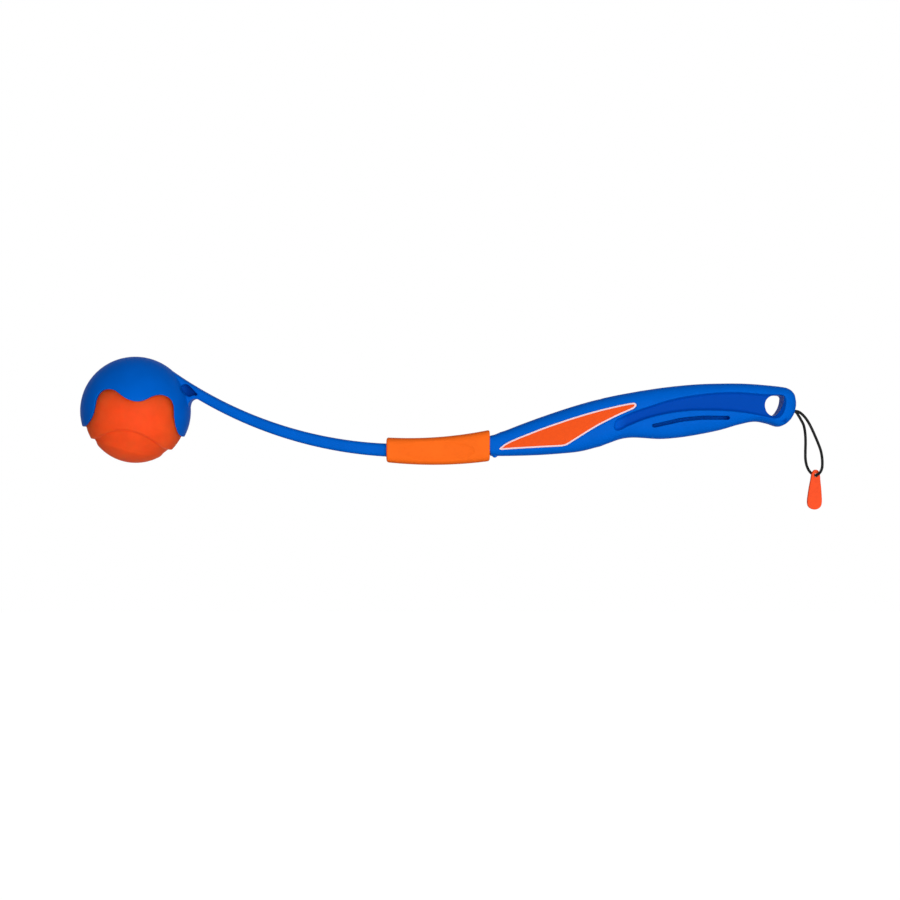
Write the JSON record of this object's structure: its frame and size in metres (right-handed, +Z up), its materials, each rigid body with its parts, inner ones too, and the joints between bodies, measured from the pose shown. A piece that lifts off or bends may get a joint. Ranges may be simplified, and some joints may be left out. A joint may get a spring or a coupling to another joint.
{
  "type": "dog ball thrower",
  "caption": "Fold-up dog ball thrower: a curved arm with a ball cup folds under a palm grip and is locked by a sliding sleeve; it holds a rubber ball and has a loop with a pull tab.",
  "frame": {"origin": "middle of the palm grip, on the thrower's mid plane", "axes": "+X along the thrower to the handle's end, +Z up, +Y across it, away from the pictured side"},
  "size_m": [0.474, 0.068, 0.0978],
  "materials": {
    "handle_blue": "moulded, satin",
    "arm_blue": "moulded, satin",
    "sleeve_orange": "moulded, satin",
    "pin_steel": "drawn",
    "label_orange": "printed, pale rim",
    "ball_orange": "moulded rubber, matt",
    "cord_black": "braided elastic",
    "anchor_black": "moulded",
    "tab_orange": "moulded rubber, satin"
  },
  "bodies": {
    "handle": {"handle": "handle_blue", "hinge_pin": "pin_steel", "label_front": "label_orange", "label_back": "label_orange", "cord_anchor": "anchor_black"},
    "arm": {"launcher_arm": "arm_blue"},
    "sleeve": {"lock_sleeve": "sleeve_orange"},
    "ball": {"ball": "ball_orange"},
    "cord": {"elastic_cord": "cord_black"},
    "tab": {"pull_tab": "tab_orange"}
  },
  "joints": [
    {"name": "fold", "type": "hinge", "parent": "handle", "child": "arm", "pos_m": [-0.14211, 0, -0.02852], "axis": [0, -1, 0], "range_deg": [0, 168]},
    {"name": "sleeve_slide", "type": "hinge", "parent": "arm", "child": "sleeve", "pos_m": [-0.18156, 0, 0.2356], "axis": [0, 1, 0], "range_deg": [0, 24]},
    {"name": "ball_release", "type": "slide", "parent": "arm", "child": "ball", "axis": [-0.1132, 0, -0.9936], "range_m": [0, 0.08], "deforming": ["ball"]},
    {"name": "cord_swing", "type": "hinge", "parent": "handle", "child": "cord", "pos_m": [0.06535, 0, -0.00047], "axis": [0, -1, 0], "range_deg": [-45, 100], "deforming": ["elastic_cord"]},
    {"name": "tab_swing", "type": "hinge", "parent": "cord", "child": "tab", "pos_m": [0.0803, 0, -0.0415], "axis": [0, -1, 0], "range_deg": [-60, 60]}
  ],
  "couplings": [
    {"joint": "sleeve_slide", "follows": "fold", "ratio": 0.14286}
  ]
}
